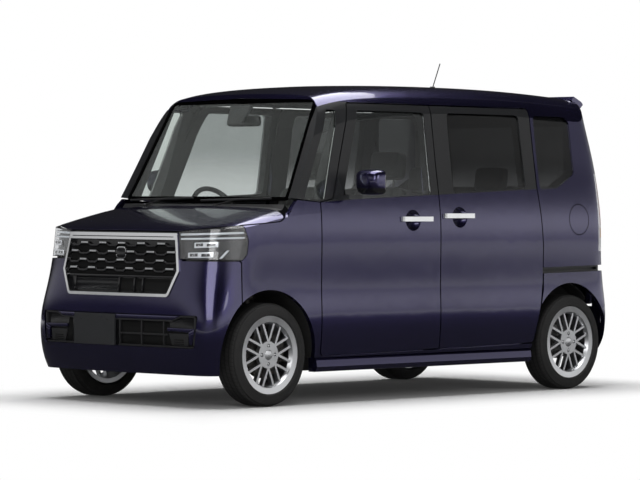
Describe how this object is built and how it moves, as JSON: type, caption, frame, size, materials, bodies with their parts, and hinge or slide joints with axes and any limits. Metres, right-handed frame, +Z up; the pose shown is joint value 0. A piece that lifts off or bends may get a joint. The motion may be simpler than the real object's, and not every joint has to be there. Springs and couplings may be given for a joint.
{
  "type": "kei car",
  "caption": "Tall boxy kei car with hinged front doors, sliding side doors, lifting tailgate and hood, steered and rolling wheels, seats and a hollow cabin.",
  "frame": {"origin": "on the ground under the middle of the body's length and width", "axes": "+Z up, +Y towards the tail, +X towards the car's left side"},
  "size_m": [1.8568, 3.3895, 1.9446],
  "materials": {
    "indigo_paint": "metallic paint",
    "black_plastic": "satin",
    "gloss_black": "gloss",
    "black_paint": "satin",
    "clear_glass": "clear",
    "privacy_glass": "tinted",
    "lamp_lens": "clear",
    "red_lens": "gloss",
    "chrome": "polished",
    "silver_alloy": "machined",
    "tyre_rubber": "matt",
    "cast_iron": "raw",
    "steel": "satin",
    "seat_cloth": "woven"
  },
  "bodies": {
    "front_door_l": {"front_door_left": "indigo_paint", "front_door_glass_left": "clear_glass", "front_door_handle_left": "chrome", "mirror_base_left": "black_plastic"},
    "front_door_r": {"front_door_right": "indigo_paint", "front_door_glass_right": "clear_glass", "front_door_handle_right": "chrome", "mirror_base_right": "black_plastic"},
    "mirror_l": {"mirror_left": "indigo_paint"},
    "mirror_r": {"mirror_right": "indigo_paint"},
    "hood_lid": {"hood": "indigo_paint"},
    "tailgate_lid": {"tailgate": "indigo_paint", "tailgate_glass": "privacy_glass", "roof_spoiler": "indigo_paint", "rear_wiper": "black_plastic"},
    "fuel_flap": {"fuel_lid": "indigo_paint"},
    "upright_l": {"knuckle_left": "cast_iron"},
    "upright_r": {"knuckle_right": "cast_iron"},
    "steering": {"steering_wheel": "black_plastic"},
    "wheel_fl": {"tyre_front_left": "tyre_rubber", "rim_front_left": "silver_alloy"},
    "wheel_fr": {"tyre_front_right": "tyre_rubber", "rim_front_right": "silver_alloy"},
    "wheel_rl": {"tyre_rear_left": "tyre_rubber", "rim_rear_left": "silver_alloy"},
    "wheel_rr": {"tyre_rear_right": "tyre_rubber", "rim_rear_right": "silver_alloy"},
    "body": {"sliding_door_left": "indigo_paint", "sliding_door_right": "indigo_paint", "sliding_door_glasses": "privacy_glass", "side_frame_left": "indigo_paint", "side_frame_right": "indigo_paint", "front_quarter_glasses": "clear_glass", "rear_quarter_glasses": "privacy_glass", "windshield": "clear_glass", "roof_panel": "indigo_paint", "tail_lamps": "red_lens", "rear_bumper": "indigo_paint", "front_fenders": "indigo_paint", "headlamp_lenses": "lamp_lens", "headlamps": "chrome", "front_bumper": "indigo_paint", "front_grille": "gloss_black", "grille_frame": "chrome", "cowl_panel": "black_plastic", "slide_rails": "black_paint", "underbody": "black_paint", "front_structure": "black_paint", "rear_axle": "steel", "engine_block": "cast_iron", "fuel_tank": "black_plastic", "exhaust": "steel", "side_sills": "indigo_paint", "sliding_door_handles": "chrome", "front_seats": "seat_cloth", "rear_seat": "seat_cloth", "dashboard": "black_plastic", "antenna": "black_plastic", "front_wipers": "black_plastic", "plate_bracket": "black_plastic"}
  },
  "joints": [
    {"name": "steer_left", "type": "hinge", "parent": "body", "child": "upright_l", "pos_m": [0.595, -1.2175, 0.281], "axis": [-0.2119, 0, 0.9773], "range_deg": [-33, 33]},
    {"name": "steer_right", "type": "hinge", "parent": "body", "child": "upright_r", "pos_m": [-0.595, -1.2175, 0.281], "axis": [0.2119, 0, 0.9773], "range_deg": [-33, 33]},
    {"name": "steering_wheel_turn", "type": "hinge", "parent": "body", "child": "steering", "pos_m": [-0.33, -0.6, 1.02], "axis": [0, 0.8829, 0.4695], "range_deg": [-470, 470]},
    {"name": "roll_fl", "type": "hinge", "parent": "upright_l", "child": "wheel_fl", "pos_m": [0.6525, -1.2175, 0.281], "axis": [1, 0, 0], "continuous": true},
    {"name": "roll_fr", "type": "hinge", "parent": "upright_r", "child": "wheel_fr", "pos_m": [-0.6525, -1.2175, 0.281], "axis": [1, 0, 0], "continuous": true},
    {"name": "roll_rl", "type": "hinge", "parent": "body", "child": "wheel_rl", "pos_m": [0.6525, 1.3025, 0.281], "axis": [1, 0, 0], "continuous": true},
    {"name": "roll_rr", "type": "hinge", "parent": "body", "child": "wheel_rr", "pos_m": [-0.6525, 1.3025, 0.281], "axis": [1, 0, 0], "continuous": true},
    {"name": "front_door_left_swing", "type": "hinge", "parent": "body", "child": "front_door_l", "pos_m": [0.7385, -0.8185, 0.4], "axis": [-0.0227, 0, 0.9997], "range_deg": [-70, 0]},
    {"name": "mirror_left_fold", "type": "hinge", "parent": "front_door_l", "child": "mirror_l", "pos_m": [0.795, -0.6, 1.148], "axis": [0, 0, 1], "range_deg": [0, 50]},
    {"name": "front_door_right_swing", "type": "hinge", "parent": "body", "child": "front_door_r", "pos_m": [-0.7385, -0.8185, 0.4], "axis": [0.0227, 0, 0.9997], "range_deg": [0, 70]},
    {"name": "mirror_right_fold", "type": "hinge", "parent": "front_door_r", "child": "mirror_r", "pos_m": [-0.795, -0.6, 1.148], "axis": [0, 0, 1], "range_deg": [-50, 0]},
    {"name": "hood_lift", "type": "hinge", "parent": "body", "child": "hood_lid", "pos_m": [0, -1.11, 1.092], "axis": [1, 0, 0], "range_deg": [-48, 0]},
    {"name": "tailgate_lift", "type": "hinge", "parent": "body", "child": "tailgate_lid", "pos_m": [0, 1.4825, 1.776], "axis": [1, 0, 0], "range_deg": [0, 82]},
    {"name": "fuel_lid_swing", "type": "hinge", "parent": "body", "child": "fuel_flap", "pos_m": [0.7325, 1.2955, 1.01], "axis": [0, 0, 1], "range_deg": [-88, 0]}
  ],
  "couplings": [
    {"joint": "steer_right", "follows": "steer_left", "ratio": 1},
    {"joint": "steering_wheel_turn", "follows": "steer_left", "ratio": 14}
  ]
}
